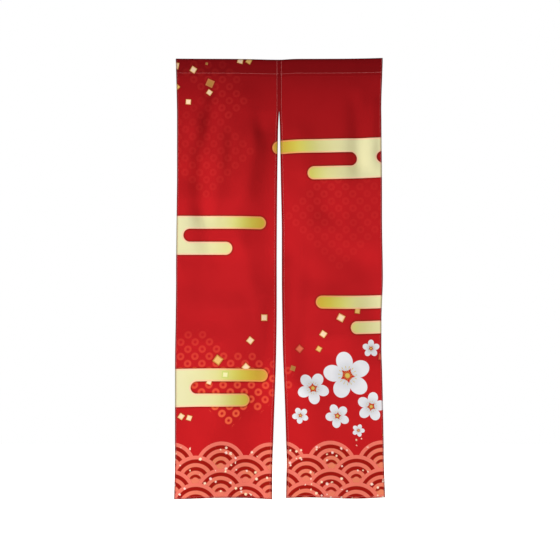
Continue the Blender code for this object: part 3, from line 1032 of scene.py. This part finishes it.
def stitch_run(panel, x, s, reverse):
    """Stitches along a line of the cloth, as vertices and faces, on its printed side or its reverse."""
    points = middle_of_cloth(panel, x, s)
    normals = facing_of_cloth(panel, x, s)
    steps = np.linalg.norm(np.diff(points, axis=0), axis=1)
    length = np.concatenate(([0.0], np.cumsum(steps)))
    count = int(length[-1] / (STITCH + STITCH_GAP))
    if reverse:
        from_outer = np.abs(side_at(panel.edges, np.abs(s), "outer") - x)
        from_inner = np.abs(side_at(panel.edges, np.abs(s), "inner") - x)
        thickness = CLOTH / 2 + turned_layers(panel, from_outer, from_inner, s)
        points = points - normals * thickness[:, None]
        normals = -normals
    else:
        points = points + normals * CLOTH / 2
    starts = np.arange(count) * (STITCH + STITCH_GAP) + STITCH_GAP
    sides = ((1, 0), (0, 1), (-1, 0), (0, -1))
    rings = []
    for part, width, rise in ((0.0, 0.45, -0.6), (0.18, 1.0, 0.45), (0.82, 1.0, 0.45), (1.0, 0.45, -0.6)):
        at = starts + part * STITCH
        centre = np.stack([np.interp(at, length, points[:, k]) for k in range(3)], axis=1)
        up = np.stack([np.interp(at, length, normals[:, k]) for k in range(3)], axis=1)
        ahead = np.stack([np.interp(at + 1e-4, length, points[:, k]) for k in range(3)], axis=1)
        behind = np.stack([np.interp(at - 1e-4, length, points[:, k]) for k in range(3)], axis=1)
        along = (ahead - behind) / np.linalg.norm(ahead - behind, axis=1, keepdims=True)
        aside = np.cross(along, up)
        centre = centre + up * THREAD * rise
        ring = [centre + (aside * a + up * b) * THREAD * width for a, b in sides]
        rings.append(np.stack(ring, axis=1))
    vertices = np.concatenate(rings, axis=1).reshape(-1, 3)
    faces = []
    for ring in range(3):
        for corner in range(4):
            following = (corner + 1) % 4
            start, end = 4 * ring, 4 * ring + 4
            faces.append((start + corner, start + following, end + following, end + corner))
    faces.append((3, 2, 1, 0))
    faces.append((12, 13, 14, 15))
    faces = np.array(faces)[None] + 16 * np.arange(count)[:, None, None]
    return vertices, faces.reshape(-1, 4)


def sewing_lines(panel):
    """The lines of sewing on a panel, as arrays of X and s."""
    inwards = -panel.side
    down = np.arange(-0.064, FOOT - 0.004, 0.002)
    drop = np.abs(down)
    outer = side_at(panel.edges, drop, "outer") + inwards * (SIDE_HEM - SEWN_IN)
    inner = side_at(panel.edges, drop, "inner") - inwards * (SLIT_HEM - SEWN_IN)
    part = np.linspace(0.004, 0.996, 220)
    lines = [(outer, down), (inner, down)]
    for s in (POCKET_DROP + 0.0003, FOOT - FOOT_HEM + SEWN_IN):
        ends = [float(side_at(panel.edges, np.array(abs(s)), column)) for column in ("outer", "inner")]
        lines.append((between(ends[0], ends[1], part), np.full(part.shape, s)))
    return lines


def make_stitching(panel, material):
    """All the stitches of a panel, on both sides of the cloth, as one piece."""
    vertices, faces, base = [], [], 0
    for x, s in sewing_lines(panel):
        for reverse in (False, True):
            run_vertices, run_faces = stitch_run(panel, x, s, reverse)
            vertices.append(run_vertices)
            faces.append(run_faces + base)
            base += len(run_vertices)
    mesh = bpy.data.meshes.new(f"{panel.name}_stitching")
    mesh.from_pydata(np.concatenate(vertices).tolist(), [], np.concatenate(faces).tolist())
    mesh.shade_smooth()
    mesh.materials.append(material)
    thing = bpy.data.objects.new(f"{panel.name}_stitching", mesh)
    bpy.context.scene.collection.objects.link(thing)
    return thing


# The stage: the picture's middle on the curtain's plane and the width that it takes in
VIEW_MIDDLE = Vector((0.0033, 0.0, -0.903))
VIEW_WIDTH = 2.296
CAMERA_DISTANCE = 9.0
SENSOR = 36.0
FLOOR_HEIGHT = -2.03


def make_camera():
    camera = bpy.data.cameras.new("camera")
    camera.sensor_width = SENSOR
    camera.lens = SENSOR * CAMERA_DISTANCE / VIEW_WIDTH
    thing = bpy.data.objects.new("camera", camera)
    thing.location = VIEW_MIDDLE + Vector((0.0, -CAMERA_DISTANCE, 0.0))
    thing.rotation_euler = (math.pi / 2, 0.0, 0.0)
    bpy.context.scene.collection.objects.link(thing)
    bpy.context.scene.camera = thing


def make_softbox(name, place, size, power):
    light = bpy.data.lights.new(name, "AREA")
    light.shape = "RECTANGLE"
    light.size, light.size_y = size
    light.energy = power
    thing = bpy.data.objects.new(name, light)
    thing.location = place
    thing.rotation_euler = (VIEW_MIDDLE - Vector(place)).to_track_quat("-Z", "Y").to_euler()
    bpy.context.scene.collection.objects.link(thing)


def make_world():
    """A white surround that the camera sees, and a softer light from all round."""
    world = bpy.data.worlds.new("world")
    bpy.context.scene.world = world
    world.use_nodes = True
    tree = world.node_tree
    seen = tree.nodes["Background"]
    seen.inputs["Color"].default_value = (1.0, 1.0, 1.0, 1.0)
    seen.inputs["Strength"].default_value = 1.0
    around = tree.nodes.new("ShaderNodeBackground")
    around.inputs["Color"].default_value = (1.0, 0.99, 0.98, 1.0)
    around.inputs["Strength"].default_value = 0.27
    path = tree.nodes.new("ShaderNodeLightPath")
    choice = tree.nodes.new("ShaderNodeMixShader")
    tree.links.new(path.outputs["Is Camera Ray"], choice.inputs[0])
    tree.links.new(around.outputs[0], choice.inputs[1])
    tree.links.new(seen.outputs[0], choice.inputs[2])
    tree.links.new(choice.outputs[0], tree.nodes["World Output"].inputs[0])


def make_floor():
    mesh = bpy.data.meshes.new("floor")
    reach = 6.0
    corners = [(-reach, -reach, 0), (reach, -reach, 0), (reach, reach, 0), (-reach, reach, 0)]
    mesh.from_pydata(corners, [], [(0, 1, 2, 3)])
    floor = bpy.data.objects.new("floor", mesh)
    floor.location.z = FLOOR_HEIGHT
    bpy.context.scene.collection.objects.link(floor)
    material = bpy.data.materials.new("pale_floor")
    material.use_nodes = True
    shader = material.node_tree.nodes["Principled BSDF"]
    shader.inputs["Base Color"].default_value = (0.92, 0.92, 0.92, 1.0)
    shader.inputs["Roughness"].default_value = 0.9
    shader.inputs["Emission Color"].default_value = (1.0, 1.0, 1.0, 1.0)
    shader.inputs["Emission Strength"].default_value = 0.8
    mesh.materials.append(material)


def make_stage():
    bpy.context.scene.view_settings.view_transform = "Standard"
    make_camera()
    make_world()
    make_floor()
    make_softbox("key", (-5.2, -3.4, 0.9), (1.4, 2.2), 198.0)
    make_softbox("fill", (2.6, -5.5, -0.6), (2.5, 2.5), 18.0)
    make_softbox("rear", (1.5, 5.0, 0.2), (3.0, 3.0), 110.0)


def main():
    materials = make_materials()
    thread = thread_material()
    for panel in PANELS:
        cloth = make_sheet(panel, materials)
        stitching = make_stitching(panel, thread)
        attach(cloth, "root")
        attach(stitching, "root")
        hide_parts(f"{panel.name}_panel", f"{panel.name}_rod_pocket")
    make_stage()


main()
